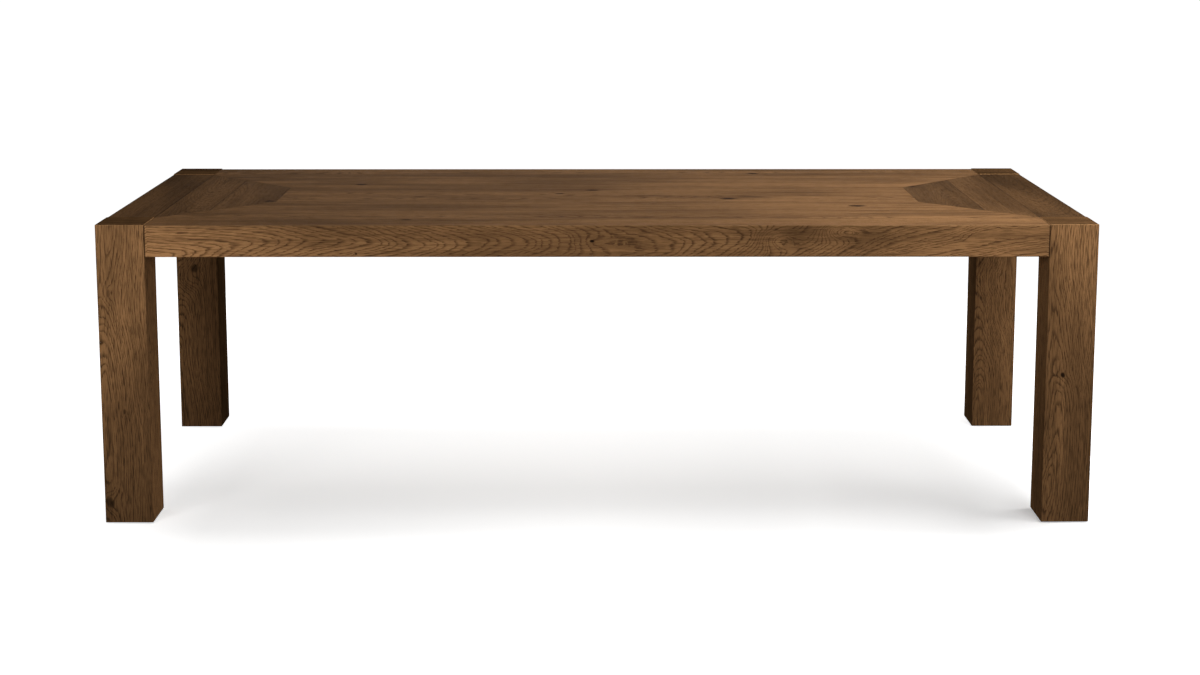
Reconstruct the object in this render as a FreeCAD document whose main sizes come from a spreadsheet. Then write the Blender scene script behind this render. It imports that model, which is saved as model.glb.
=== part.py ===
import FreeCAD
import Part
import Sketcher
import math
import os
import re

# A dining table of smoked oak, in millimetres: X along its length, Y from front to rear, Z up,
# with the origin on the floor under its centre. Four hollow legs stand at the corners, rails run
# between them flush with their outer faces, and mitred boards face the core panel of the deck.

# Driving dimensions, each written once and kept in the sheet under its name
SIZES = {
    # Overall
    "table_length": 2440,
    "table_depth": 1016,
    "deck_height": 750,
    # Legs
    "leg_width": 118,
    "leg_proud": 2,
    "leg_floor_gap": 3,
    "stave_thickness": 20,
    "cap_thickness": 8,
    "top_block_height": 90,
    "foot_block_height": 60,
    "foot_recess": 5,
    # Rails, core and battens
    "rail_drop": 78,
    "rail_thickness": 28,
    "core_thickness": 22,
    "batten_width": 70,
    "batten_recess": 16,
    "batten_offset_share": 0.254,
    # Facing boards
    "facing_thickness": 5,
    "centre_width": 260,
    "centre_seam_share": 0.415,
    "side_seam_share": 0.273,
    "end_seam_share": 0.442,
    # Leg cleats and the bolts through them
    "cleat_length": 60,
    "cleat_thickness": 45,
    "cleat_recess": 11,
    "bolt_radius": 4,
    "bolt_head_radius": 7.5,
    "bolt_head_height": 5.3,
    "bolt_end_gap": 2,
    "washer_radius": 8,
    "washer_thickness": 1.6,
    "insert_radius": 6,
    "insert_length": 30,
    # Wood screws
    "screw_radius": 2,
    "screw_head_radius": 4,
    "screw_head_height": 2.8,
    "screw_bite": 16,
    "screw_spacing_share": 0.5,
    "screw_drop_share": 0.32,
    # Levelling feet
    "pad_radius": 25,
    "pad_edge": 1.5,
    "stem_radius": 5,
    "stem_length": 42,
    "stem_seat": 4,
    "foot_insert_radius": 7,
    "foot_insert_length": 40,
    # Softened edges, clearances and the overrun of the cuts
    "arris": 1,
    "fit_clearance": 0.05,
    "thread_clearance": 0.08,
    "hole_clearance": 0.4,
    "overrun": 5,
}

# Formulas that several pieces share, in the sheet's sizes
LEG_HEIGHT = "(deck_height + leg_proud - leg_floor_gap)"
LEG_TOP = "(deck_height + leg_proud)"
RAIL_BOTTOM = "(deck_height - rail_drop)"
CORE_TOP = "(deck_height - facing_thickness)"
CORE_UNDERSIDE = "(deck_height - facing_thickness - core_thickness)"
BORDER = "((table_depth - centre_width) / 2)"
SIDE_SEAM = f"(leg_width + side_seam_share * ({BORDER} - leg_width))"
END_SEAM = f"(leg_width + end_seam_share * ({BORDER} - leg_width))"
CENTRE_SEAM = f"({BORDER} + centre_seam_share * centre_width)"
BATTEN_HEIGHT = "(rail_drop - facing_thickness - core_thickness - batten_recess)"
BATTEN_LENGTH = "(table_depth - 2 * rail_thickness)"
CLEAT_HEIGHT = "(rail_drop - facing_thickness - core_thickness - cleat_recess)"
CLEAT_SCREW_DROP = f"(screw_drop_share * {CLEAT_HEIGHT})"
BOLT_HEIGHT = f"({CORE_UNDERSIDE} - {CLEAT_HEIGHT} / 2)"
BOLT_INSET = "(rail_thickness + cleat_thickness / 2)"
PILOT_RADIUS = "(screw_radius + fit_clearance)"
SCREW_HOLE_RADIUS = "(screw_radius + hole_clearance)"
INSERT_BORE_RADIUS = "(insert_radius + fit_clearance)"
HOLLOW = "(leg_width - 2 * stave_thickness)"
FOOT_BLOCK_BOTTOM = "(leg_floor_gap + foot_recess)"

# Each side of the table: the way of its run as signs of X and Y, anticlockwise from above, and its length
SIDES = {
    "front": (1, 0, "table_length"),
    "right": (0, 1, "table_depth"),
    "rear": (-1, 0, "table_length"),
    "left": (0, -1, "table_depth"),
}

# Each leg by the signs of its X and Y
LEGS = {
    "front_left": (-1, -1),
    "front_right": (1, -1),
    "rear_left": (-1, 1),
    "rear_right": (1, 1),
}

# Shares of a batten's length at which its screws stand
BATTEN_SCREW_SHARES = (0.08, 0.36, 0.64, 0.92)

UP = FreeCAD.Vector(0, 0, 1)
X_AXIS = FreeCAD.Vector(1, 0, 0)

doc = FreeCAD.newDocument("dining_table")
nodes = []


def fill_sheet():
    """Write each driving dimension into the sheet and name its cell."""
    sheet = doc.addObject("Spreadsheet::Sheet", "Sizes")
    for row, (name, value) in enumerate(SIZES.items(), start=1):
        sheet.set(f"A{row}", name)
        sheet.set(f"B{row}", str(value))
        sheet.setAlias(f"B{row}", name)
    doc.recompute()


def tie(thing, prop, formula):
    """Bind a property to a formula in the sheet's sizes."""
    named = re.sub(r"[a-z][a-z_]+", lambda word: "Sizes." + word.group(), formula)
    thing.setExpression(prop, named)


def seat(thing, x, y, z, rotation=None):
    """Place a piece at formulas in the sheet's sizes, turned as given."""
    if rotation is not None:
        thing.Placement = FreeCAD.Placement(FreeCAD.Vector(0, 0, 0), rotation)
    tie(thing, "Placement.Base.x", x)
    tie(thing, "Placement.Base.y", y)
    tie(thing, "Placement.Base.z", z)


def keep(thing, label):
    """List a finished piece as a sub-part under its own label."""
    thing.Label = label
    nodes.append(thing)
    return thing


# Drawing and solid helpers


def new_sketch(body, name, role):
    """Start a sketch on one of the body's own origin planes."""
    sketch = body.newObject("Sketcher::SketchObject", name)
    plane = next(item for item in body.Origin.OriginFeatures if item.Role == role)
    sketch.AttachmentSupport = [(plane, "")]
    sketch.MapMode = "FlatFace"
    return sketch


def pin_point(sketch, edge, point, x, y, start):
    """Hold a point of an edge at formulas for its two coordinates."""
    for kind, formula, value, axis in (("DistanceX", x, start.x, -2), ("DistanceY", y, start.y, -1)):
        if formula == "0":
            sketch.addConstraint(Sketcher.Constraint("PointOnObject", edge, point, axis))
        else:
            index = sketch.addConstraint(Sketcher.Constraint(kind, -1, 1, edge, point, value))
            tie(sketch, f"Constraints[{index}]", formula)


def draw_polygon(sketch, points):
    """Draw a closed outline from its corners, each a pair of formulas."""
    count = len(points)
    turns = [(index + 1 / 3) * math.tau / count for index in range(count)]
    starts = [FreeCAD.Vector(math.cos(turn), math.sin(turn), 0) for turn in turns]
    edges = []
    for index in range(count):
        line = Part.LineSegment(starts[index], starts[(index + 1) % count])
        edges.append(sketch.addGeometry(line, False))
    for index in range(count):
        following = edges[(index + 1) % count]
        sketch.addConstraint(Sketcher.Constraint("Coincident", edges[index], 2, following, 1))
    for edge, (x, y), start in zip(edges, points, starts):
        pin_point(sketch, edge, 1, x, y, start)


def draw_circle(sketch, x, y, radius):
    """Draw a circle at formulas for its centre and radius."""
    centre = FreeCAD.Vector(1, 1, 0)
    edge = sketch.addGeometry(Part.Circle(centre, UP, 1), False)
    index = sketch.addConstraint(Sketcher.Constraint("Radius", edge, 1))
    tie(sketch, f"Constraints[{index}]", radius)
    pin_point(sketch, edge, 3, x, y, centre)


def new_body(label):
    """Start a body and list it as a sub-part."""
    return keep(doc.addObject("PartDesign::Body", label), label)


def pad(body, sketch, length):
    """Raise a sketch into the body by a formula's length."""
    feature = body.newObject("PartDesign::Pad", "Pad")
    feature.Profile = sketch
    tie(feature, "Length", length)
    return feature


def pocket(body, sketch, length, backwards=False, both_ways=False):
    """Cut a sketch into the body by a formula's length."""
    feature = body.newObject("PartDesign::Pocket", "Pocket")
    feature.Profile = sketch
    feature.Reversed = backwards
    if both_ways:
        feature.SideType = "Symmetric"
    tie(feature, "Length", length)
    return feature


def cylinder(name, radius, height):
    """Make a round bar standing on its own Z axis."""
    bar = doc.addObject("Part::Cylinder", name)
    tie(bar, "Radius", radius)
    tie(bar, "Height", height)
    return bar


def block(name, length, width, height):
    """Make a squared block."""
    piece = doc.addObject("Part::Box", name)
    tie(piece, "Length", length)
    tie(piece, "Width", width)
    tie(piece, "Height", height)
    return piece


def cut(name, base, tool):
    """Cut one piece out of another."""
    result = doc.addObject("Part::Cut", name)
    result.Base = base
    result.Tool = tool
    return result


def fuse(name, base, tool):
    """Join the two forms that make up one piece."""
    result = doc.addObject("Part::Fuse", name)
    result.Base = base
    result.Tool = tool
    result.Refine = True
    return result


def group(label, pieces):
    """Gather identical pieces into one sub-part of separate solids."""
    result = doc.addObject("Part::Compound", label)
    result.Links = pieces
    return keep(result, label)


# Deck and rails, drawn along their side of the table from its corner, with Y inwards


def side_ways(side):
    """The ways along a side's run and out of the table there, with the turn that lays X on the run."""
    along_x, along_y, _ = SIDES[side]
    along = FreeCAD.Vector(along_x, along_y, 0)
    outward = FreeCAD.Vector(along_y, -along_x, 0)
    return along, outward, FreeCAD.Rotation(along, -outward, UP, "ZXY")


def seat_on_side(body, side, height):
    """Place a piece of one side: X along the side from its corner, Y towards the table's centre."""
    along, outward, turn = side_ways(side)
    corner = outward - along
    x = f"{round(corner.x)} * table_length / 2"
    y = f"{round(corner.y)} * table_depth / 2"
    seat(body, x, y, height, turn)


def edge_board(label, side, width):
    """Facing board along the table's edge, mitred to the rail below and butted between the legs."""
    run = SIDES[side][2]
    body = new_body(label)
    section = new_sketch(body, "Section", "YZ_Plane")
    draw_polygon(section, [
        ("arris / 2", "facing_thickness - arris / 2"),
        ("arris", "facing_thickness"),
        (width, "facing_thickness"),
        (width, "0"),
        ("facing_thickness", "0"),
    ])
    tie(section, "AttachmentOffset.Base.z", "leg_width")
    pad(body, section, f"{run} - 2 * leg_width")
    if width != "leg_width":
        mitre_edge_board(body, run, width)
    seat_on_side(body, side, CORE_TOP)
    return body


def mitre_edge_board(body, run, width):
    """Cut the two mitres that run from the legs' inner corners to the board's inner edge."""
    corners = new_sketch(body, "Mitres", "XY_Plane")
    near = "leg_width - overrun"
    far = f"{width} + overrun"
    draw_polygon(corners, [(near, near), (near, far), (far, far)])
    draw_polygon(corners, [
        (f"{run} - ({near})", near),
        (f"{run} - ({near})", far),
        (f"{run} - ({far})", far),
    ])
    pocket(body, corners, "facing_thickness + overrun", backwards=True)


def mitred_board(label, side, outer, inner):
    """Facing board between two distances from the table's edge, with a mitre at each end."""
    run = SIDES[side][2]
    body = new_body(label)
    outline = new_sketch(body, "Outline", "XY_Plane")
    draw_polygon(outline, [
        (outer, outer),
        (f"{run} - {outer}", outer),
        (f"{run} - {inner}", inner),
        (inner, inner),
    ])
    pad(body, outline, "facing_thickness")
    seat_on_side(body, side, CORE_TOP)
    return body


def centre_board(label, outer, inner):
    """Square-ended facing board of the middle panel, between two distances from the front edge."""
    body = new_body(label)
    outline = new_sketch(body, "Outline", "XY_Plane")
    draw_polygon(outline, [
        (BORDER, outer),
        (f"table_length - {BORDER}", outer),
        (f"table_length - {BORDER}", inner),
        (BORDER, inner),
    ])
    pad(body, outline, "facing_thickness")
    seat_on_side(body, "front", CORE_TOP)
    return body


def deck_facing():
    """Twelve boards: two along each long side, three across each end and two in the middle."""
    for side in ("front", "rear"):
        edge_board(f"face_{side}_outer", side, SIDE_SEAM)
        mitred_board(f"face_{side}_inner", side, SIDE_SEAM, BORDER)
    for side in ("left", "right"):
        edge_board(f"face_{side}_outer", side, "leg_width")
        mitred_board(f"face_{side}_middle", side, "leg_width", END_SEAM)
        mitred_board(f"face_{side}_inner", side, END_SEAM, BORDER)
    centre_board("face_centre_front", BORDER, CENTRE_SEAM)
    centre_board("face_centre_rear", CENTRE_SEAM, f"(table_depth - {BORDER})")


def rail(side):
    """Rail between two legs, with softened arrises and pilot holes for the cleat screws."""
    run = SIDES[side][2]
    body = new_body(f"rail_{side}")
    section = new_sketch(body, "Section", "YZ_Plane")
    draw_polygon(section, [
        ("arris", "0"),
        ("0", "arris"),
        ("0", "rail_drop - arris"),
        ("arris / 2", "rail_drop - arris / 2"),
        ("facing_thickness", "rail_drop - facing_thickness"),
        ("rail_thickness", "rail_drop - facing_thickness"),
        ("rail_thickness", "0"),
    ])
    tie(section, "AttachmentOffset.Base.z", "leg_width")
    pad(body, section, f"{run} - 2 * leg_width")
    ends = new_sketch(body, "EndArrises", "XY_Plane")
    for end, sign in (("leg_width", 1), (f"{run} - leg_width", -1)):
        draw_polygon(ends, [
            (f"{end} - {sign} * overrun", "arris + overrun"),
            (f"{end} + {sign} * (arris + overrun)", "-overrun"),
            (f"{end} - {sign} * overrun", "-overrun"),
        ])
    pocket(body, ends, "rail_drop + overrun", backwards=True)
    pilots = new_sketch(body, "Pilots", "XZ_Plane")
    tie(pilots, "AttachmentOffset.Base.z", "-rail_thickness")
    height = f"cleat_recess + {CLEAT_HEIGHT} / 2 - {CLEAT_SCREW_DROP}"
    for sign in (-1, 1):
        along = f"(leg_width + cleat_length / 2 + {sign} * cleat_length * screw_spacing_share / 2)"
        draw_circle(pilots, along, height, PILOT_RADIUS)
        draw_circle(pilots, f"{run} - {along}", height, PILOT_RADIUS)
    pocket(body, pilots, "screw_bite + fit_clearance", backwards=True)
    seat_on_side(body, side, RAIL_BOTTOM)


def core_panel():
    """Core under the facing boards, notched round the legs, with pilot holes for the batten screws."""
    body = new_body("top_core_panel")
    low = "rail_thickness"
    notch = "leg_width"
    right = "(table_length - rail_thickness)"
    right_notch = "(table_length - leg_width)"
    rear = "(table_depth - rail_thickness)"
    rear_notch = "(table_depth - leg_width)"
    outline = new_sketch(body, "Outline", "XY_Plane")
    draw_polygon(outline, [
        (notch, low), (right_notch, low), (right_notch, notch), (right, notch),
        (right, rear_notch), (right_notch, rear_notch), (right_notch, rear), (notch, rear),
        (notch, rear_notch), (low, rear_notch), (low, notch), (notch, notch),
    ])
    pad(body, outline, "core_thickness")
    pilots = new_sketch(body, "Pilots", "XY_Plane")
    for sign in (-1, 0, 1):
        along = f"table_length / 2 + {sign} * batten_offset_share * table_length"
        for share in BATTEN_SCREW_SHARES:
            across = f"rail_thickness + {share} * {BATTEN_LENGTH}"
            draw_circle(pilots, along, across, PILOT_RADIUS)
    pocket(body, pilots, "screw_bite + fit_clearance", backwards=True)
    seat_on_side(body, "front", CORE_UNDERSIDE)


def batten(label, sign):
    """Cross batten under the core, between the front and rear rails, bored for its screws."""
    body = new_body(label)
    outline = new_sketch(body, "Outline", "XY_Plane")
    draw_polygon(outline, [
        ("0", "0"),
        ("batten_width", "0"),
        ("batten_width", BATTEN_LENGTH),
        ("0", BATTEN_LENGTH),
    ])
    for share in BATTEN_SCREW_SHARES:
        draw_circle(outline, "batten_width / 2", f"{share} * {BATTEN_LENGTH}", SCREW_HOLE_RADIUS)
    pad(body, outline, BATTEN_HEIGHT)
    x = f"{sign} * batten_offset_share * table_length - batten_width / 2"
    seat(body, x, f"-{BATTEN_LENGTH} / 2", f"{CORE_UNDERSIDE} - {BATTEN_HEIGHT}")


def screw(name, length):
    """Pan-headed wood screw: the head's seat is at its origin and the shank runs up its Z axis."""
    shank = cylinder(f"{name}_shank", "screw_radius", length)
    head = cylinder(f"{name}_head", "screw_head_radius", "screw_head_height")
    seat(head, "0", "0", "-screw_head_height")
    return fuse(name, shank, head)


def battens():
    """Three battens and the screws that hold them to the core."""
    screws = []
    for name, sign in (("left", -1), ("centre", 0), ("right", 1)):
        batten(f"batten_{name}", sign)
        for index, share in enumerate(BATTEN_SCREW_SHARES):
            piece = screw(f"batten_screw_{name}_{index}", f"{BATTEN_HEIGHT} + screw_bite")
            x = f"{sign} * batten_offset_share * table_length"
            seat(piece, x, f"({share} - 1 / 2) * {BATTEN_LENGTH}", f"{CORE_UNDERSIDE} - {BATTEN_HEIGHT}")
            screws.append(piece)
    group("batten_screws", screws)


# Legs


def leg_centre(leg):
    """Formulas for the middle of a leg in plan."""
    sign_x, sign_y = LEGS[leg]
    return f"{sign_x} * (table_length - leg_width) / 2", f"{sign_y} * (table_depth - leg_width) / 2"


def stave(leg, side):
    """One wall of a leg: mitred along both edges and under the cap, bored for an insert on inner walls."""
    along, outward, turn = side_ways(side)
    sign_x, sign_y = LEGS[leg]
    body = new_body(f"leg_{leg}_stave_{side}")
    outline = new_sketch(body, "Outline", "XY_Plane")
    half = "leg_width / 2"
    draw_polygon(outline, [
        (f"arris - {half}", "0"),
        (f"{half} - arris", "0"),
        (f"{half} - arris / 2", "arris / 2"),
        (f"{half} - stave_thickness", "stave_thickness"),
        (f"stave_thickness - {half}", "stave_thickness"),
        (f"arris / 2 - {half}", "arris / 2"),
    ])
    pad(body, outline, LEG_HEIGHT)
    ends = new_sketch(body, "Ends", "YZ_Plane")
    draw_polygon(ends, [
        ("-overrun", f"{LEG_HEIGHT} - arris - overrun"),
        ("arris / 2", f"{LEG_HEIGHT} - arris / 2"),
        ("cap_thickness", f"{LEG_HEIGHT} - cap_thickness"),
        ("stave_thickness + overrun", f"{LEG_HEIGHT} - cap_thickness"),
        ("stave_thickness + overrun", f"{LEG_HEIGHT} + overrun"),
        ("-overrun", f"{LEG_HEIGHT} + overrun"),
    ])
    draw_polygon(ends, [
        ("-overrun", "arris + overrun"),
        ("arris + overrun", "-overrun"),
        ("-overrun", "-overrun"),
    ])
    pocket(body, ends, "leg_width + overrun", both_ways=True)
    faces_in = outward.x * sign_x + outward.y * sign_y < 0
    if faces_in:
        offset_sign = round(along.x * sign_x + along.y * sign_y)
        bore = new_sketch(body, "InsertBore", "XZ_Plane")
        across = f"{offset_sign} * (leg_width / 2 - {BOLT_INSET})"
        draw_circle(bore, across, f"{BOLT_HEIGHT} - leg_floor_gap", INSERT_BORE_RADIUS)
        pocket(body, bore, "stave_thickness + overrun")
    x, y = leg_centre(leg)
    seat(
        body,
        f"{x} + {round(outward.x)} * {half}",
        f"{y} + {round(outward.y)} * {half}",
        "leg_floor_gap",
        turn,
    )


def frustum(name, lower, upper, height):
    """Square frustum between two half widths, standing on its own Y axis."""
    wedge = doc.addObject("Part::Wedge", name)
    for low, high, half in (("Xmin", "Xmax", lower), ("Zmin", "Zmax", lower),
                            ("X2min", "X2max", upper), ("Z2min", "Z2max", upper)):
        tie(wedge, low, f"-({half})")
        tie(wedge, high, half)
    tie(wedge, "Ymin", "0")
    tie(wedge, "Ymax", height)
    return wedge


def leg_cap(leg):
    """Square cap that closes a leg, bevelled underneath to the staves' mitres."""
    edge = "leg_width / 2 - arris / 2"
    upright = FreeCAD.Rotation(X_AXIS, 90)
    bevel = frustum(f"cap_bevel_{leg}", "leg_width / 2 - cap_thickness", edge, "cap_thickness - arris / 2")
    seat(bevel, "0", "0", f"{LEG_TOP} - cap_thickness", upright)
    arris = frustum(f"cap_arris_{leg}", edge, "leg_width / 2 - arris", "arris / 2")
    seat(arris, "0", "0", f"{LEG_TOP} - arris / 2", upright)
    cap = fuse(f"leg_{leg}_cap", bevel, arris)
    x, y = leg_centre(leg)
    seat(cap, x, y, "0")
    keep(cap, f"leg_{leg}_cap")


def top_block(leg):
    """Block inside a leg's head, bored for the two inserts that the bolts run into."""
    piece = block(f"top_block_{leg}", HOLLOW, HOLLOW, "top_block_height")
    x, y = leg_centre(leg)
    seat(piece, f"{x} - {HOLLOW} / 2", f"{y} - {HOLLOW} / 2", f"{LEG_TOP} - cap_thickness - top_block_height")
    for run in ("x", "y"):
        bore = cylinder(f"top_bore_{run}_{leg}", INSERT_BORE_RADIUS, "insert_length + bolt_end_gap")
        seat_on_bolt_line(bore, leg, run, "leg_width")
        piece = cut(f"top_block_{run}_{leg}", piece, bore)
    return piece


def foot_block(leg):
    """Block inside a leg's foot, bored through for the levelling foot's insert."""
    piece = block(f"foot_block_{leg}", HOLLOW, HOLLOW, "foot_block_height")
    x, y = leg_centre(leg)
    seat(piece, f"{x} - {HOLLOW} / 2", f"{y} - {HOLLOW} / 2", FOOT_BLOCK_BOTTOM)
    radius = "foot_insert_radius + fit_clearance"
    bore = cylinder(f"foot_bore_{leg}", radius, "foot_block_height + 2 * overrun")
    seat(bore, x, y, f"{FOOT_BLOCK_BOTTOM} - overrun")
    return cut(f"foot_block_bored_{leg}", piece, bore)


def legs():
    """Sixteen staves, four caps, and the blocks inside."""
    for leg in LEGS:
        for side in SIDES:
            stave(leg, side)
        leg_cap(leg)
    group("leg_top_blocks", [top_block(leg) for leg in LEGS])
    group("leg_foot_blocks", [foot_block(leg) for leg in LEGS])


# Leg joints: cleats, bolts, washers and inserts, one set along X and one along Y at each leg


def seat_on_bolt_line(thing, leg, run, inset):
    """Place a piece on a leg's bolt line, at an inset from the table's end, with its Z axis outwards."""
    sign_x, sign_y = LEGS[leg]
    if run == "x":
        x = f"{sign_x} * (table_length / 2 - ({inset}))"
        y = f"{sign_y} * (table_depth / 2 - {BOLT_INSET})"
        outwards = FreeCAD.Vector(sign_x, 0, 0)
    else:
        x = f"{sign_x} * (table_length / 2 - {BOLT_INSET})"
        y = f"{sign_y} * (table_depth / 2 - ({inset}))"
        outwards = FreeCAD.Vector(0, sign_y, 0)
    seat(thing, x, y, BOLT_HEIGHT, FreeCAD.Rotation(UP, outwards))


def cleat_screw_spot(leg, run, sign):
    """Formulas for a cleat screw's head seat, and the way that the screw points."""
    sign_x, sign_y = LEGS[leg]
    along = f"(leg_width + cleat_length / 2 + {sign} * cleat_length * screw_spacing_share / 2)"
    inset = "(rail_thickness + cleat_thickness)"
    height = f"{BOLT_HEIGHT} - {CLEAT_SCREW_DROP}"
    if run == "x":
        x = f"{sign_x} * (table_length / 2 - {along})"
        y = f"{sign_y} * (table_depth / 2 - {inset})"
        return x, y, height, FreeCAD.Rotation(UP, FreeCAD.Vector(0, sign_y, 0))
    x = f"{sign_x} * (table_length / 2 - {inset})"
    y = f"{sign_y} * (table_depth / 2 - {along})"
    return x, y, height, FreeCAD.Rotation(UP, FreeCAD.Vector(sign_x, 0, 0))


def cleat(leg, run):
    """Hardwood cleat behind a rail's end, against the leg, bored for its bolt and its two screws."""
    name = f"cleat_{run}_{leg}"
    sign_x, sign_y = LEGS[leg]
    size = {"x": ("cleat_length", "cleat_thickness"), "y": ("cleat_thickness", "cleat_length")}[run]
    piece = block(name, size[0], size[1], CLEAT_HEIGHT)
    along = "leg_width + cleat_length / 2"
    inset = {"x": (along, BOLT_INSET), "y": (BOLT_INSET, along)}[run]
    seat(
        piece,
        f"{sign_x} * (table_length / 2 - ({inset[0]})) - {size[0]} / 2",
        f"{sign_y} * (table_depth / 2 - ({inset[1]})) - {size[1]} / 2",
        f"{CORE_UNDERSIDE} - {CLEAT_HEIGHT}",
    )
    bore = cylinder(f"{name}_bolt_bore", "bolt_radius + hole_clearance", "cleat_length + 2 * overrun")
    seat_on_bolt_line(bore, leg, run, "leg_width + cleat_length + overrun")
    piece = cut(f"{name}_bored", piece, bore)
    for index, sign in enumerate((-1, 1)):
        hole = cylinder(f"{name}_hole_{index}", SCREW_HOLE_RADIUS, "cleat_thickness")
        seat(hole, *cleat_screw_spot(leg, run, sign))
        piece = cut(f"{name}_drilled_{index}", piece, hole)
    return piece


def cleat_screws(leg, run):
    """The two screws that hold a cleat to its rail."""
    screws = []
    for index, sign in enumerate((-1, 1)):
        piece = screw(f"cleat_screw_{run}_{leg}_{index}", "cleat_thickness + screw_bite")
        seat(piece, *cleat_screw_spot(leg, run, sign))
        screws.append(piece)
    return screws


def bolt(leg, run):
    """Hex-headed bolt through a washer and a cleat into the leg's insert."""
    name = f"bolt_{run}_{leg}"
    reach = "washer_thickness + cleat_length + insert_length - bolt_end_gap"
    shank = cylinder(f"{name}_shank", "bolt_radius", reach)
    head = doc.addObject("Part::Prism", f"{name}_head")
    head.Polygon = 6
    tie(head, "Circumradius", "bolt_head_radius")
    tie(head, "Height", "bolt_head_height")
    seat(head, "0", "0", "-bolt_head_height")
    piece = fuse(name, shank, head)
    seat_on_bolt_line(piece, leg, run, "leg_width + cleat_length + washer_thickness")
    return piece


def ring(name, outer, inner, height):
    """Plain round ring standing on its own Z axis."""
    return cut(name, cylinder(f"{name}_outside", outer, height), cylinder(f"{name}_inside", inner, height))


def washer(leg, run):
    """Washer between a bolt's head and its cleat."""
    piece = ring(f"washer_{run}_{leg}", "washer_radius", "bolt_radius + hole_clearance", "washer_thickness")
    seat_on_bolt_line(piece, leg, run, "leg_width + cleat_length + washer_thickness")
    return piece


def bolt_insert(leg, run):
    """Threaded insert in a leg's wall and top block."""
    piece = ring(f"insert_{run}_{leg}", "insert_radius", "bolt_radius + fit_clearance", "insert_length")
    seat_on_bolt_line(piece, leg, run, "leg_width")
    return piece


def leg_joints():
    """Everything that bolts the legs to the rails."""
    spots = [(leg, run) for run in ("x", "y") for leg in LEGS]
    group("leg_cleats_side", [cleat(leg, run) for leg, run in spots if run == "x"])
    group("leg_cleats_end", [cleat(leg, run) for leg, run in spots if run == "y"])
    screws = []
    for leg, run in spots:
        screws.extend(cleat_screws(leg, run))
    group("cleat_screws", screws)
    group("leg_bolts", [bolt(leg, run) for leg, run in spots])
    group("leg_bolt_washers", [washer(leg, run) for leg, run in spots])
    group("leg_bolt_inserts", [bolt_insert(leg, run) for leg, run in spots])


# Levelling feet


def foot_pad(leg):
    """Turned nylon pad that stands on the floor, with a seat for its stem."""
    body = new_body(f"levelling_pad_{leg}")
    profile = new_sketch(body, "Profile", "XZ_Plane")
    draw_polygon(profile, [
        ("0", "0"),
        ("pad_radius - pad_edge", "0"),
        ("pad_radius", "pad_edge"),
        ("pad_radius", FOOT_BLOCK_BOTTOM),
        ("stem_radius + fit_clearance", FOOT_BLOCK_BOTTOM),
        ("stem_radius + fit_clearance", f"{FOOT_BLOCK_BOTTOM} - stem_seat"),
        ("0", f"{FOOT_BLOCK_BOTTOM} - stem_seat"),
    ])
    turned = body.newObject("PartDesign::Revolution", "Turned")
    turned.Profile = profile
    turned.ReferenceAxis = (profile, ["V_Axis"])
    turned.Angle = 360
    x, y = leg_centre(leg)
    seat(body, x, y, "0")


def foot_stem(leg):
    """Threaded stem, modelled at its outer diameter, that carries the leg on its pad."""
    stem = cylinder(f"stem_{leg}", "stem_radius", "stem_length")
    x, y = leg_centre(leg)
    seat(stem, x, y, f"{FOOT_BLOCK_BOTTOM} - stem_seat")
    keep(stem, f"levelling_stem_{leg}")


def foot_insert(leg):
    """Threaded insert in a leg's foot block."""
    bore = "stem_radius + thread_clearance"
    piece = ring(f"foot_insert_{leg}", "foot_insert_radius", bore, "foot_insert_length")
    x, y = leg_centre(leg)
    seat(piece, x, y, FOOT_BLOCK_BOTTOM)
    return piece


def levelling_feet():
    """A pad, a stem and an insert in each leg."""
    for leg in LEGS:
        foot_pad(leg)
        foot_stem(leg)
    group("levelling_inserts", [foot_insert(leg) for leg in LEGS])


def write_parts():
    """Stop on any failed object or shape, then write each sub-part to its own file."""
    for thing in doc.Objects:
        if "Invalid" in thing.State or "Error" in thing.State:
            raise RuntimeError(f"{thing.Label} failed: {thing.State}")
    for node in nodes:
        if node.Shape.isNull() or not node.Shape.isValid():
            raise RuntimeError(f"{node.Label} has no valid shape")
    os.makedirs("parts", exist_ok=True)
    for node in nodes:
        node.Shape.exportStep(f"parts/{node.Label}.step")
        print(node.Label, len(node.Shape.Solids), round(node.Shape.Volume))


fill_sheet()
deck_facing()
for side_name in SIDES:
    rail(side_name)
core_panel()
battens()
legs()
leg_joints()
levelling_feet()
doc.recompute()
write_parts()
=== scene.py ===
import bpy
import math
from mathutils import Euler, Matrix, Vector


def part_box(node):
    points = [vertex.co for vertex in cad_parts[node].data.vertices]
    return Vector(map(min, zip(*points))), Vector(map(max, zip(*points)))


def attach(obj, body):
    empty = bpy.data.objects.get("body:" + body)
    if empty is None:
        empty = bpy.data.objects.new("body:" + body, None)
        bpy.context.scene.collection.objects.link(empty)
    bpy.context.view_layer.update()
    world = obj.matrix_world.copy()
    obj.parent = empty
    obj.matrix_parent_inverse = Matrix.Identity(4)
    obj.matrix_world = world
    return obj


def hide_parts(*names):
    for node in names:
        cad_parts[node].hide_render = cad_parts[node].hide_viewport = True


# A long dining table of smoked oak in a plain studio, in metres: X along the table, Y to the rear, Z up.

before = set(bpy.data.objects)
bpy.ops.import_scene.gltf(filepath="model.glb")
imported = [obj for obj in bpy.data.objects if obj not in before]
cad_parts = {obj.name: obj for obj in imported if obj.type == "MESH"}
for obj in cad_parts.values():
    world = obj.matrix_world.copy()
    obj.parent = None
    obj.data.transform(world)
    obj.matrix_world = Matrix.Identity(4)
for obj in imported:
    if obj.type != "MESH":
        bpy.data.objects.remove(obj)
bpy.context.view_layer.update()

HALF_LENGTH = 1.22
HALF_WIDTH = 0.508
UP = Vector((0, 0, 1))


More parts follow.
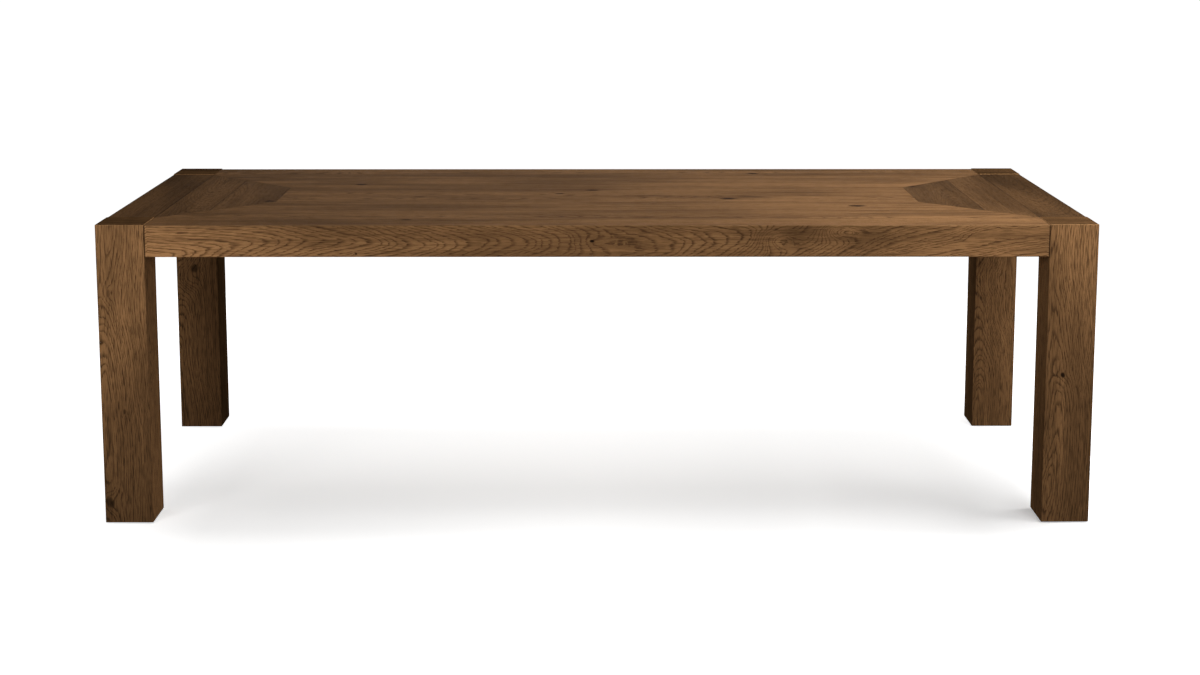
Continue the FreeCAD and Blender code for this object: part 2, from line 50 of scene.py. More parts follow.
def tint(red, green, blue):
    """A colour of eight-bit red, green and blue, as the shaders take it."""
    parts = [part / 255 for part in (red, green, blue)]
    light = [part / 12.92 if part <= 0.04045 else ((part + 0.055) / 1.055) ** 2.4 for part in parts]
    return (*light, 1.0)


def toned(colour, tone):
    """The same colour, lighter or darker by a factor."""
    return (*(part * tone for part in colour[:3]), 1.0)


# Colours of the finishes
OAK_TAN = tint(150, 110, 72)
OAK_BROWN = tint(108, 78, 50)
OAK_LINE = tint(66, 46, 29)
OAK_KNOT = tint(30, 20, 13)
# Lighter tan of the upper edges: a painted highlight, partly worn finish
OAK_HIGHLIGHT_AND_WORN = tint(186, 143, 98)
BEECH_PALE = tint(205, 168, 128)
BEECH_DARK = tint(182, 142, 104)
BEECH_FLECK = tint(142, 98, 66)
BIRCH_PALE = tint(214, 184, 142)
BIRCH_DARK = tint(193, 158, 115)
BIRCH_FLECK = tint(170, 132, 92)
PLY_DARK = tint(128, 90, 58)
ZINC_COOL = tint(172, 175, 180)
ZINC_WARM = tint(206, 203, 194)
NYLON_BLACK = tint(24, 24, 25)
NYLON_GREY = tint(36, 36, 37)
FLOOR_WHITE = tint(245, 245, 245)
FLOOR_DIM = tint(80, 80, 80)

# Fineness of the wood's figure: cycles to a metre along the grain, and across it both ways
PITH_DRIFT = 2.3
FIBRE_WAVES = (6.0, 34.0, 34.0)
RAGGED_LINES = (26.0, 560.0, 560.0)
PORES = (30.0, 480.0, 480.0)
FINE_PORES = (140.0, 2300.0, 2300.0)
STREAKS = (2.2, 120.0, 120.0)
CLOUDS = (2.0, 9.0, 9.0)
FLECKS = (160.0, 900.0, 900.0)

# Fineness of what is alike on all axes
KNOT_EDGE = (70.0,) * 3
HIGHLIGHT_AND_RUBBED_PATCHES = (9.0,) * 3
ZINC_BLOOM = (180.0,) * 3
ZINC_SPECKS = (2600.0,) * 3
NYLON_GRAIN = (1900.0,) * 3
NYLON_CLOUDS = (60.0,) * 3

NOISE_MIDDLE = (0.5, 0.5, 0.5)


class Bench:
    """A node tree with short ways of adding nodes to it."""

    def __init__(self, tree):
        self.tree = tree

    def wire(self, node, wires):
        """Wire or set a node's inputs."""
        for socket, value in wires.items():
            if isinstance(value, bpy.types.NodeSocket):
                self.tree.links.new(value, node.inputs[socket])
            else:
                node.inputs[socket].default_value = value

    def node(self, kind, wires=None, **settings):
        """Add a node, set it up, and wire or set its inputs."""
        node = self.tree.nodes.new(kind)
        for name, value in settings.items():
            setattr(node, name, value)
        self.wire(node, wires or {})
        return node

    def placed(self, group, wires):
        """Place a shared group with its own values; gives its outputs."""
        return self.node("ShaderNodeGroup", wires, node_tree=group).outputs

    def maths(self, operation, *values):
        """Arithmetic on single values."""
        return self.node("ShaderNodeMath", dict(enumerate(values)), operation=operation).outputs[0]

    def vector(self, operation, *values):
        """Arithmetic on vectors."""
        node = self.node("ShaderNodeVectorMath", dict(enumerate(values)), operation=operation)
        return node.outputs["Value" if operation in ("LENGTH", "DOT_PRODUCT") else "Vector"]

    def axes(self, value):
        """A vector's three parts."""
        return self.node("ShaderNodeSeparateXYZ", {0: value}).outputs

    def noise(self, place, fineness, detail=2.0):
        """Cloudy noise over a place."""
        stretched = self.vector("MULTIPLY", place, fineness)
        wires = {"Vector": stretched, "Scale": 1.0, "Detail": detail}
        return self.node("ShaderNodeTexNoise", wires).outputs

    def line_noise(self, value, fineness):
        """Noise along a single value."""
        wires = {"W": self.maths("MULTIPLY", value, fineness), "Scale": 1.0, "Detail": 1.0}
        return self.node("ShaderNodeTexNoise", wires, noise_dimensions="1D").outputs

    def shake(self, noise, reach):
        """A noise's colour as a push to all sides, as far as its reach."""
        wires = {0: self.vector("SUBTRACT", noise["Color"], NOISE_MIDDLE), "Scale": reach}
        return self.node("ShaderNodeVectorMath", wires, operation="SCALE").outputs["Vector"]

    def ease(self, value, start, end, low=0.0, high=1.0):
        """Ease from low to high while the value goes from start to end."""
        wires = {"Value": value, "From Min": start, "From Max": end, "To Min": low, "To Max": high}
        return self.node("ShaderNodeMapRange", wires, interpolation_type="SMOOTHSTEP").outputs[0]

    def ramp(self, share, stops, interpolation="LINEAR"):
        """A colour read off a row of stops, each a share of the row and the colour there."""
        node = self.node("ShaderNodeValToRGB", {"Fac": share})
        node.color_ramp.interpolation = interpolation
        points = node.color_ramp.elements
        while len(points) < len(stops):
            points.new(0.5)
        for point, (position, colour) in zip(points, stops):
            point.position = position
            point.color = colour
        return node.outputs["Color"]

    def stepped(self, value, steps):
        """A value read off a row of steps, each a place and the value there."""
        first, last = steps[0][0], steps[-1][0]
        wires = {"Value": value, "From Min": first, "From Max": last}
        share = self.node("ShaderNodeMapRange", wires).outputs[0]
        span = last - first
        stops = [((place - first) / span, (amount, amount, amount, 1.0)) for place, amount in steps]
        return self.ramp(share, stops)

    def mix(self, amount, first, second):
        """A mix of two colours."""
        wires = {0: amount, 6: first, 7: second}
        return self.node("ShaderNodeMix", wires, data_type="RGBA").outputs[2]


def new_group(name, inputs, outputs):
    """Start a shared group with named sockets; gives the group, its bench, its inputs and its end."""
    group = bpy.data.node_groups.new(name, "ShaderNodeTree")
    for socket, kind in inputs.items():
        group.interface.new_socket(socket, in_out="INPUT", socket_type=f"NodeSocket{kind}")
    for socket in outputs:
        group.interface.new_socket(socket, in_out="OUTPUT", socket_type="NodeSocketFloat")
    bench = Bench(group)
    start = bench.node("NodeGroupInput")
    end = bench.node("NodeGroupOutput")
    return group, bench, start.outputs, end


# Figure of the wood: growth rings about a pith that wanders along the grain, broken up by the pores

UNEVEN_RINGS = 2.4
UNEVEN_RATE = 0.31
RAGGED_RINGS = 0.7


def make_figure():
    """Rings, pores, streaks and clouds of a board whose grain runs along X."""
    inputs = {"Grain": "Vector", "Pith": "Vector", "Ring Width": "Float", "Wander": "Float", "Push": "Float",
              "Waver": "Float"}
    outputs = ("Line", "Pore", "Streak", "Cloud", "Fine Pore")
    group, bench, given, end = new_group("wood figure", inputs, outputs)
    grain = given["Grain"]

    drift = bench.shake(bench.line_noise(bench.axes(grain)["X"], PITH_DRIFT), given["Wander"])
    fibre = bench.shake(bench.noise(grain, FIBRE_WAVES), given["Waver"])
    bent = bench.vector("SUBTRACT", grain, given["Pith"])
    bent = bench.vector("ADD", bench.vector("ADD", bent, drift), fibre)
    radius = bench.vector("LENGTH", bench.vector("MULTIPLY", bent, (0.0, 1.0, 1.0)))

    rings = bench.maths("ADD", bench.maths("DIVIDE", radius, given["Ring Width"]), given["Push"])
    uneven = bench.line_noise(rings, UNEVEN_RATE)[0]
    rings = bench.maths("MULTIPLY_ADD", uneven, UNEVEN_RINGS, rings)
    ragged = bench.noise(grain, RAGGED_LINES)[0]
    rings = bench.maths("MULTIPLY_ADD", ragged, RAGGED_RINGS, rings)
    year = bench.maths("FRACT", rings)
    early = bench.maths("ADD", bench.ease(year, 0.36, 0.0), bench.ease(year, 0.92, 1.0))

    line = bench.maths("MULTIPLY", early, bench.ease(ragged, 0.36, 0.58, 0.35, 1.0))
    pore = bench.ease(bench.noise(grain, PORES, detail=1.0)[0], 0.5, 0.62)
    pore = bench.maths("MULTIPLY", pore, bench.maths("MULTIPLY_ADD", early, 0.4, 0.6))
    fine_pore = bench.ease(bench.noise(grain, FINE_PORES, detail=1.0)[0], 0.55, 0.7)
    streak = bench.noise(grain, STREAKS, detail=3.0)[0]
    cloud = bench.noise(grain, CLOUDS)[0]
    bench.wire(end, {"Line": line, "Pore": pore, "Streak": streak, "Cloud": cloud, "Fine Pore": fine_pore})
    return group


def make_spot():
    """A soft spot at a place on the table: how far it swells, and its small heart."""
    inputs = {"Place": "Vector", "Centre": "Vector", "Reach": "Vector", "Strength": "Float"}
    group, bench, given, end = new_group("spot", inputs, ("Swell", "Heart"))
    offset = bench.vector("SUBTRACT", given["Place"], given["Centre"])
    offset = bench.vector("DIVIDE", offset, given["Reach"])
    offset = bench.vector("ADD", offset, bench.shake(bench.noise(given["Place"], KNOT_EDGE), 0.3))
    square = bench.vector("DOT_PRODUCT", offset, offset)
    swell = bench.maths("EXPONENT", bench.maths("MULTIPLY", square, -1.2))
    swell = bench.maths("MULTIPLY", swell, given["Strength"])
    bench.wire(end, {"Swell": swell, "Heart": bench.ease(square, 0.16, 0.02)})
    return group


def make_edge_highlight_and_wear():
    """Upper edges made lighter: a painted highlight where a face slopes between upright and level, partly
    worn finish, broken into patches.
    """
    group, bench, given, end = new_group("edge wear", {"Normal": "Vector", "Place": "Vector"}, ("Highlight And Wear",))
    up = bench.axes(given["Normal"])["Z"]
    slope = bench.maths("MULTIPLY", bench.ease(up, 0.2, 0.5), bench.ease(up, 0.97, 0.85))
    patches = bench.ease(bench.noise(given["Place"], HIGHLIGHT_AND_RUBBED_PATCHES)[0], 0.3, 0.6, 0.35, 1.0)
    bench.wire(end, {"Highlight And Wear": bench.maths("MULTIPLY", slope, patches)})
    return group


FIGURE = make_figure()
SPOT = make_spot()
EDGE_HIGHLIGHT_AND_WEAR = make_edge_highlight_and_wear()


# Finishes in general


def new_finish(name):
    """Start a finish: gives the material, its bench, its shader and the place on the table."""
    material = bpy.data.materials.new(name)
    material.use_nodes = True
    bench = Bench(material.node_tree)
    shader = material.node_tree.nodes["Principled BSDF"]
    place = bench.node("ShaderNodeTexCoord").outputs["Object"]
    return material, bench, shader, place


def set_finish(bench, shader, colour, rough, height, depth, strength=0.4):
    """Wire colour, roughness and a fine relief into a finish."""
    relief = bench.node("ShaderNodeBump", {"Strength": strength, "Distance": depth, "Height": height})
    wires = {"Base Color": colour, "Roughness": rough, "Normal": relief.outputs["Normal"]}
    bench.wire(shader, wires)


def finish(node, material):
    """Give a CAD node its finish."""
    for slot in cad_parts[node].material_slots:
        slot.material = material


# Smoked oak

GRAIN_TURNS = {
    "X": Euler((0.0, 0.0, 0.0)),
    "Y": Euler((0.0, 0.0, -math.pi / 2)),
    "Z": Euler((0.0, math.pi / 2, 0.0)),
}
ACROSS_GRAIN = {"X": 1, "Y": 0}
PITH_SPAN = 0.8
FINE_PORE_DARK = 0.3
SMOOTH_OAK = 0.62
POROUS_OAK = 0.85
OAK_RELIEF = 0.0003

# Dark hairlines: the distances from a board's edge at which one begins and is full
BUTT_LINE = (0.0036, 0.002)
SEAM_LINE = (0.0025, 0.001)


def follow_pith(bench, along, length, path, turn):
    """The pith along a board, from stops of a place along the grain and the pith's offset there."""
    share = bench.maths("MULTIPLY_ADD", along, 1 / length, 0.5)
    stops = []
    for place, *offset in path:
        colour = turn @ Vector(offset) / PITH_SPAN + Vector(NOISE_MIDDLE)
        stops.append((place / length + 0.5, (*colour, 1.0)))
    curve = bench.ramp(share, stops, "B_SPLINE" if len(stops) > 2 else "LINEAR")
    return bench.vector("MULTIPLY_ADD", curve, (PITH_SPAN,) * 3, (-PITH_SPAN / 2,) * 3)


def hairline(bench, side, size, line, strength):
    """How dark a board is at the thin lines along two of its edges, which are its size apart."""
    begin, full = line
    return bench.ease(bench.maths("ABSOLUTE", side), size / 2 - begin, size / 2 - full, 0.0, strength)


def smoked_oak(node, grain, path, tone=1.0, ring=0.0045, wander=0.03, waver=0.006, taper=0.0, seed=0.0,
               highlight_and_rubbed=0.6, lines=0.8, pores=0.6, streaks=0.4, sheen=0.0, butted=0.0, seams=0.0, knots=(),
               tone_patches=()):
    """Smoked, oiled oak for one board: its grain's axis, its pith's path, its tone, knots and patches of
    tone.
    """
    material, bench, shader, place = new_finish(f"oak_{node}")
    low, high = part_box(node)
    size = high - low
    turn = GRAIN_TURNS[grain].to_matrix()
    wires = {"Vector": place, "Location": -(turn @ (low + high) / 2), "Rotation": GRAIN_TURNS[grain]}
    local = bench.node("ShaderNodeMapping", wires).outputs[0]
    along, across, _ = bench.axes(local)
    length = size["XYZ".index(grain)]

    push = bench.maths("MULTIPLY", along, taper)
    heart = 0.0
    for centre, reach, rings, dark in knots:
        wires = {"Place": place, "Centre": centre, "Reach": reach, "Strength": rings}
        spot = bench.placed(SPOT, wires)
        push = bench.maths("ADD", spot["Swell"], push)
        heart = bench.maths("MULTIPLY_ADD", spot["Heart"], dark, heart)
    wires = {
        "Grain": bench.vector("ADD", local, (seed, 0.0, 0.0)),
        "Pith": follow_pith(bench, along, length, path, turn),
        "Ring Width": ring,
        "Wander": wander,
        "Push": push,
        "Waver": waver,
    }
    figure = bench.placed(FIGURE, wires)
    normal = bench.node("ShaderNodeNewGeometry").outputs["Normal"]
    highlight_and_wear = bench.placed(EDGE_HIGHLIGHT_AND_WEAR, {"Normal": normal, "Place": place})["Highlight And Wear"]

    lightness = bench.maths("ADD", bench.ease(figure["Streak"], 0.3, 0.7, -streaks, streaks),
                            bench.ease(figure["Cloud"], 0.3, 0.7, 0.2, 1.0))
    for centre, reach, depth in tone_patches:
        wires = {"Place": place, "Centre": centre, "Reach": reach, "Strength": depth}
        lightness = bench.maths("SUBTRACT", lightness, bench.placed(SPOT, wires)["Swell"])
    colour = bench.mix(lightness, toned(OAK_BROWN, tone), toned(OAK_TAN, tone))
    for mark, strength in (("Line", lines), ("Pore", pores), ("Fine Pore", FINE_PORE_DARK)):
        colour = bench.mix(bench.maths("MULTIPLY", figure[mark], strength), colour, toned(OAK_LINE, tone))
    if knots:
        colour = bench.mix(heart, colour, OAK_KNOT)
    # Painted highlight on upward-sloping edges, partly worn finish
    colour = bench.mix(bench.maths("MULTIPLY", highlight_and_wear, highlight_and_rubbed), colour, toned(OAK_HIGHLIGHT_AND_WORN, tone))
    if butted:
        colour = bench.mix(hairline(bench, along, length, BUTT_LINE, butted), colour, OAK_KNOT)
    if seams:
        width = size[ACROSS_GRAIN[grain]]
        colour = bench.mix(hairline(bench, across, width, SEAM_LINE, seams), colour, OAK_KNOT)

    open_grain = bench.maths("MAXIMUM", figure["Pore"], figure["Fine Pore"])
    rough = bench.ease(open_grain, 0.0, 1.0, SMOOTH_OAK, POROUS_OAK)
    height = bench.maths("MULTIPLY_ADD", figure["Line"], -0.5, bench.maths("MULTIPLY", open_grain, -1.0))
    set_finish(bench, shader, colour, rough, height, OAK_RELIEF, strength=0.35)
    shader.inputs["Specular IOR Level"].default_value = sheen
    finish(node, material)


# Deck boards

DECK_KNOT_HEIGHT = 0.75
DECK_KNOT_RINGS = 2.5
DECK_SHEEN = 0.012
DECK_SEAMS = 0.5


def face_knot(x, y, size=1.0, dark=1.0):
    """A knot in the deck's surface, longer along the table."""
    return (x, y, DECK_KNOT_HEIGHT), (0.072 * size, 0.038 * size, 0.05), DECK_KNOT_RINGS, dark


# Lengthwise: the pith's offset to the rear and upwards at the left end and the right end, tone, knots
FACE_BOARDS = {
    "face_front_outer": ((0.05, -0.02), (0.02, -0.07), 0.87, (face_knot(-0.473, -0.421, 0.7, 0.7),)),
    "face_front_inner": ((-0.13, -0.03), (-0.16, -0.06), 0.9, (face_knot(0.672, -0.2),)),
    "face_centre_front": ((0.0, -0.03), (0.03, -0.11), 0.94, (face_knot(0.348, -0.075),
                                                             face_knot(-0.473, -0.04, 0.7, 0.6))),
    "face_centre_rear": ((-0.02, -0.06), (-0.1, -0.02), 0.9, (face_knot(-0.014, 0.08, 0.8),
                                                               face_knot(-0.1, 0.018, 0.6))),
    "face_rear_inner": ((0.2, -0.05), (0.16, -0.04), 0.95, (face_knot(-0.657, 0.192, 0.8),)),
    "face_rear_outer": ((0.01, -0.1), (0.03, -0.02), 0.93, (face_knot(0.45, 0.412, 0.8),)),
}

# Crosswise: the pith's offset to the right and upwards at the front end and the rear end, tone, knots
# Their low tones are painted shade, for how dark crosswise grain looks in this light; lowest on the right,
# where the lamps fall strongest
END_BOARDS = {
    "face_left_outer": ((0.1, -0.05), (0.09, -0.03), 0.58, ()),
    "face_left_middle": ((0.02, -0.09), (0.0, -0.02), 0.67, ()),
    "face_left_inner": ((-0.1, -0.03), (-0.06, -0.06), 0.68, (face_knot(-0.862, -0.114, 0.7),)),
    "face_right_inner": ((0.02, -0.02), (0.05, -0.06), 0.41, (face_knot(0.868, 0.142, 0.7),)),
    "face_right_middle": ((0.12, -0.03), (0.1, -0.05), 0.47, ()),
    "face_right_outer": ((0.0, -0.1), (0.0, -0.02), 0.33, ()),
}

for number, (board, (left, right, tone, knots)) in enumerate(FACE_BOARDS.items()):
    path = [(-1.1, 0.0, *left), (1.1, 0.0, *right)]
    smoked_oak(board, "X", path, tone, seed=3.7 * number, pores=0.4, sheen=DECK_SHEEN, seams=DECK_SEAMS,
               knots=knots)

for number, (board, (front, rear, tone, knots)) in enumerate(END_BOARDS.items()):
    path = [(-0.4, front[0], 0.0, front[1]), (0.4, rear[0], 0.0, rear[1])]
    smoked_oak(board, "Y", path, tone, seed=31 + 3.7 * number, lines=0.5, pores=0.4, streaks=0.2,
               sheen=DECK_SHEEN, seams=DECK_SEAMS, knots=knots)


# Rails: on the front one, long lines turn into arches, which run up to a knot and two eyes; then long lines

FRONT_FACE = -HALF_WIDTH
BUTT_DARK = 0.9

# Knots and eyes: centre, reach, rings that it pushes out, darkness of its heart
RAIL_KNOTS = (
    ((-0.013, FRONT_FACE, 0.711), (0.018, 0.05, 0.011), 0.5, 1.0),
    ((0.01, FRONT_FACE, 0.706), (0.08, 0.12, 0.032), 3.0, 0.0),
    ((0.44, FRONT_FACE, 0.714), (0.045, 0.12, 0.026), 6.0, 0.0),
    ((0.6, FRONT_FACE, 0.735), (0.055, 0.12, 0.02), 7.0, 0.0),
    ((-0.587, FRONT_FACE, 0.68), (0.01, 0.05, 0.008), 0.5, 0.95),
    ((0.95, FRONT_FACE, 0.735), (0.08, 0.12, 0.03), 2.5, 0.0),
)

# Patches of tone: centre, reach, how much darker, or lighter where it is below nought; the first darkens the
# rail's middle
RAIL_TONE_PATCHES = (
    ((0.06, FRONT_FACE, 0.71), (0.35, 0.3, 0.2), 0.3),
    ((0.49, FRONT_FACE, 0.722), (0.035, 0.3, 0.03), 0.4),
    ((0.65, FRONT_FACE, 0.706), (0.07, 0.3, 0.025), 0.35),
    ((0.44, FRONT_FACE, 0.714), (0.025, 0.3, 0.02), -0.4),
    ((0.6, FRONT_FACE, 0.737), (0.05, 0.3, 0.014), -0.8),
)

# Pith: place along the rail, then its offset along, behind and above the rail's middle
RAIL_PATH = (
    (-1.1, 0, 0.006, -0.055),
    (-0.85, 0, 0.004, -0.005),
    (-0.6, 0, 0.003, 0.004),
    (-0.4, 0, 0.008, -0.002),
    (-0.1, 0, 0.014, -0.008),
    (0.3, 0, 0.02, -0.01),
    (0.45, 0, 0.04, 0.03),
    (0.6, 0, 0.05, 0.07),
    (0.75, 0, 0.055, 0.1),
    (1.1, 0, 0.05, 0.07),
)
smoked_oak("rail_front", "X", RAIL_PATH, 1.33, ring=0.0065, wander=0.015, waver=0.014, taper=30.0, seed=60,
           highlight_and_rubbed=0.3, lines=0.95, pores=0.7, streaks=0.25, butted=BUTT_DARK, knots=RAIL_KNOTS,
           tone_patches=RAIL_TONE_PATCHES)
smoked_oak("rail_rear", "X", ((-1.1, 0, -0.12, 0.01), (1.1, 0, -0.01, 0.0)), seed=64, butted=BUTT_DARK)
smoked_oak("rail_right", "Y", ((-0.4, -0.01, 0, 0.0), (0.4, -0.08, 0, 0.02)), seed=68, butted=BUTT_DARK)
smoked_oak("rail_left", "Y", ((-0.4, 0.08, 0, -0.02), (0.4, 0.01, 0, 0.01)), seed=72, butted=BUTT_DARK)


# Legs: each stave's rings are tightest near its left edge, where they close into pointed arches

REAR_LEG_FACE = 0.39
LEG_KNOTS = {
    "leg_front_left_stave_front": (((-1.206, FRONT_FACE, 0.055), (0.03, 0.08, 0.04), 3.0, 0.7),
                                   ((-1.163, FRONT_FACE, 0.285), (0.014, 0.08, 0.024), 0.6, 0.6),
                                   ((-1.193, FRONT_FACE, 0.583), (0.014, 0.08, 0.03), 1.5, 0.4)),
    "leg_rear_left_stave_front": (((-1.168, REAR_LEG_FACE, 0.475), (0.036, 0.08, 0.042), 3.0, 0.7),
                                  ((-1.191, REAR_LEG_FACE, 0.445), (0.03, 0.08, 0.045), 4.0, 0.0)),
    "leg_rear_right_stave_front": (((1.15, REAR_LEG_FACE, 0.44), (0.04, 0.08, 0.06), 5.0, 0.0),
                                   ((1.18, REAR_LEG_FACE, 0.35), (0.05, 0.08, 0.08), 4.0, 0.0)),
    "leg_front_right_stave_front": (((1.144, FRONT_FACE, 0.377), (0.018, 0.08, 0.022), 1.5, 0.95),
                                    ((1.125, FRONT_FACE, 0.375), (0.02, 0.08, 0.01), 0.5, 0.5)),
}
OUTWARD = {
    "front": Vector((0, -1, 0)),
    "right": Vector((1, 0, 0)),
    "rear": Vector((0, 1, 0)),
    "left": Vector((-1, 0, 0)),
}
STAVE_TONE = 1.12
# Painted light and shade on inner staves: the front-left leg's inner stave lighter, the rear legs' inner
# staves darker
STAVE_TONES_OF_LIGHT_AND_SHADE = {
    "leg_front_left_stave_right": 1.3,
    "leg_rear_left_stave_right": 0.4,
    "leg_rear_right_stave_left": 0.65,
}
# The caps' low tones are darker wood and partly painted shade, lowest on the right, where the lamps fall
# strongest
CAP_TONES = {"front_left": 0.58, "front_right": 0.39, "rear_left": 0.48, "rear_right": 0.44}

# A stave's pith: how far it is to the left of the middle, and how deep at the foot and at the top
STAVE_PITH_LEFT = 0.044
STAVE_PITH_FOOT = 0.02
STAVE_PITH_TOP = 0.006
CAP_PATH = ((-0.05, 0, 0.1, -0.05), (0.05, 0, 0.1, -0.05))

for number, leg in enumerate(CAP_TONES):
    for turn, (side, outward) in enumerate(OUTWARD.items()):
        stave = f"leg_{leg}_stave_{side}"
        left = outward.cross(UP) * STAVE_PITH_LEFT
        path = [(-0.37, *(left - outward * STAVE_PITH_FOOT)), (0.37, *(left - outward * STAVE_PITH_TOP))]
        smoked_oak(stave, "Z", path, STAVE_TONES_OF_LIGHT_AND_SHADE.get(stave, STAVE_TONE), wander=0.07, taper=14.0,
                   seed=90 + 5.3 * number + 1.1 * turn, lines=0.9, pores=0.85, streaks=0.2,
                   knots=LEG_KNOTS.get(stave, ()))
    smoked_oak(f"leg_{leg}_cap", "X", CAP_PATH, CAP_TONES[leg], seed=150 + number, highlight_and_rubbed=0.05)


# Finishes of the hidden frame and the hardware

# Plies of the core panel: the height of its underside, a ply's thickness, and where the dark ones show
CORE_UNDERSIDE = 0.723
PLY_THICKNESS = 0.00147
PLY_DARK_FROM = 0.00055
PLY_DARK_FULL = 0.0009


def ply_edges(bench, place):
    """How dark the core panel's edges are: every other ply."""
    up = bench.axes(bench.node("ShaderNodeNewGeometry").outputs["Normal"])["Z"]
    height = bench.maths("SUBTRACT", bench.axes(place)["Z"], CORE_UNDERSIDE)
    ply = bench.maths("PINGPONG", height, PLY_THICKNESS)
    dark_ply = bench.ease(ply, PLY_DARK_FROM, PLY_DARK_FULL, 0.0, 0.75)
    edge = bench.ease(bench.maths("ABSOLUTE", up), 0.6, 0.3)
    return bench.maths("MULTIPLY", edge, dark_ply)


def sawn_timber(name, grain, pale, dark, fleck, ring, plies=False):
    """Clean sawn hardwood under the deck, with its figure faint and its flecks short."""
    material, bench, shader, place = new_finish(name)
    local = bench.node("ShaderNodeMapping", {"Vector": place, "Rotation": GRAIN_TURNS[grain]}).outputs[0]
    wires = {"Grain": local, "Pith": (0.0, 0.13, 0.41), "Ring Width": ring, "Wander": 0.05, "Waver": 0.01}
    figure = bench.placed(FIGURE, wires)
    colour = bench.mix(bench.ease(figure["Streak"], 0.25, 0.75), dark, pale)
    colour = bench.mix(bench.maths("MULTIPLY", figure["Line"], 0.35), colour, dark)
    flecks = bench.ease(bench.noise(local, FLECKS, detail=0.0)[0], 0.6, 0.72, 0.0, 0.7)
    colour = bench.mix(flecks, colour, fleck)
    if plies:
        colour = bench.mix(ply_edges(bench, place), colour, PLY_DARK)
    rough = bench.ease(figure["Streak"], 0.3, 0.7, 0.55, 0.7)
    set_finish(bench, shader, colour, rough, figure["Fine Pore"], 0.0001)
    return material


def beech(grain):
    """Beech with its grain along an axis."""
    return sawn_timber(f"beech_{grain}", grain, BEECH_PALE, BEECH_DARK, BEECH_FLECK, 0.004)


def plywood():
    """Birch-faced plywood: veneer on its faces, light and dark plies on its edges."""
    return sawn_timber("core_plywood", "X", BIRCH_PALE, BIRCH_DARK, BIRCH_FLECK, 0.011, plies=True)


def zinc_steel():
    """Zinc-plated steel: grey with a faint warm and cool bloom, and rubbed brighter in patches."""
    material, bench, shader, place = new_finish("zinc_steel")
    bloom = bench.noise(place, ZINC_BLOOM, detail=3.0)[0]
    speck = bench.noise(place, ZINC_SPECKS, detail=1.0)[0]
    colour = bench.mix(bench.ease(bloom, 0.3, 0.7), ZINC_COOL, ZINC_WARM)
    rough = bench.maths("ADD", bench.ease(bloom, 0.3, 0.7, 0.24, 0.4), bench.ease(speck, 0.4, 0.7, 0.0, 0.1))
    set_finish(bench, shader, colour, rough, speck, 0.00005)
    shader.inputs["Metallic"].default_value = 1.0
    return material


def nylon():
    """Black moulded nylon with a fine spark-eroded grain."""
    material, bench, shader, place = new_finish("nylon")
    grain = bench.noise(place, NYLON_GRAIN)[0]
    cloud = bench.noise(place, NYLON_CLOUDS)[0]
    colour = bench.mix(bench.ease(cloud, 0.3, 0.7), NYLON_BLACK, NYLON_GREY)
    rough = bench.ease(grain, 0.35, 0.65, 0.45, 0.62)
    set_finish(bench, shader, colour, rough, grain, 0.00006)
    return material


ZINC = zinc_steel()
NYLON = nylon()
FRAME_FINISHES = (
    (plywood(), ("top_core_panel",)),
    (beech("X"), ("leg_cleats_side",)),
    (beech("Y"), ("batten_left", "batten_centre", "batten_right", "leg_cleats_end")),
    (beech("Z"), ("leg_top_blocks", "leg_foot_blocks")),
    (ZINC, ("leg_bolt_washers", "leg_bolt_inserts", "levelling_inserts")),
)
for material, nodes in FRAME_FINISHES:
    for node in nodes:
        finish(node, material)


# Hardware with its details: modelled once, copied to each place

SMOOTH_ANGLE = math.radians(35)
ROD_SIDES = 24

# Levelling foot: the steps that the pad's top and underside take inwards, each a width and a rise
PAD_SIDES = 48
PAD_RADIUS = 0.025
PAD_HEIGHT = 0.008
PAD_TOP_STEPS = ((0.0035, -0.0014), (0.007, 0.0), (0.0008, 0.0014), (0.0086, 0.0))
PAD_FOOT_STEPS = ((0.004, 0.0007), (0.009, 0.0), (0.001, -0.0007))
PAD_BORE = 0.004
PAD_EDGE = 0.0004
FLUTE_SPACING = 3
FLUTE_DEPTH = 0.0007
STEM_RADIUS = 0.0045
STEM_FOOT = 0.004
STEM_TIP = 0.046
STEM_CHAMFER = 0.001
THREAD_HEIGHT = 0.0005
THREAD_START = 0.0052
THREAD_PITCH = 0.0015
THREAD_TURNS = 26
THREAD_STEPS = 20

# Hex bolt
BOLT_HEAD_RADIUS = 0.0075
BOLT_HEAD_HEIGHT = 0.0047
BOLT_CROWN_HEIGHT = 0.0006
BOLT_CROWN_SHARE = 0.84
BOLT_HEAD_EDGE = 0.0003
BOLT_RADIUS = 0.004
BOLT_LENGTH = 0.0896
BOLT_CHAMFER = 0.0008

# Pan-head wood screw
SCREW_HEAD_RADIUS = 0.004
SCREW_HEAD_HEIGHT = 0.0028
SCREW_DOME = 0.0012
SCREW_RADIUS = 0.002
SCREW_SIDES = 16
SCREW_TIP = 0.0015
RECESS_WIDTH = 0.0011
RECESS_ARM = 0.0014
RECESS_LEVEL = -0.0024
BATTEN_SCREW_LENGTH = 0.051
CLEAT_SCREW_LENGTH = 0.061


def pick(*pieces):
    """Select some pieces alone, the first of them active."""
    bpy.ops.object.select_all(action="DESELECT")
    for piece in pieces:
        piece.select_set(True)
    if pieces:
        bpy.context.view_layer.objects.active = pieces[0]


def joined(*pieces):
    """Join pieces into the first of them."""
    pick(*pieces)
    if len(pieces) > 1:
        bpy.ops.object.join()
    return bpy.context.object


def start_solid(vertices, radius, low, high):
    """Add an upright prism between two heights on the Z axis, with its place in its mesh."""
    pick()
    bpy.ops.mesh.primitive_cylinder_add(vertices=vertices, radius=radius, depth=high - low,
                                        location=(0.0, 0.0, (low + high) / 2))
    bpy.ops.object.transform_apply(location=True)
    return bpy.context.object


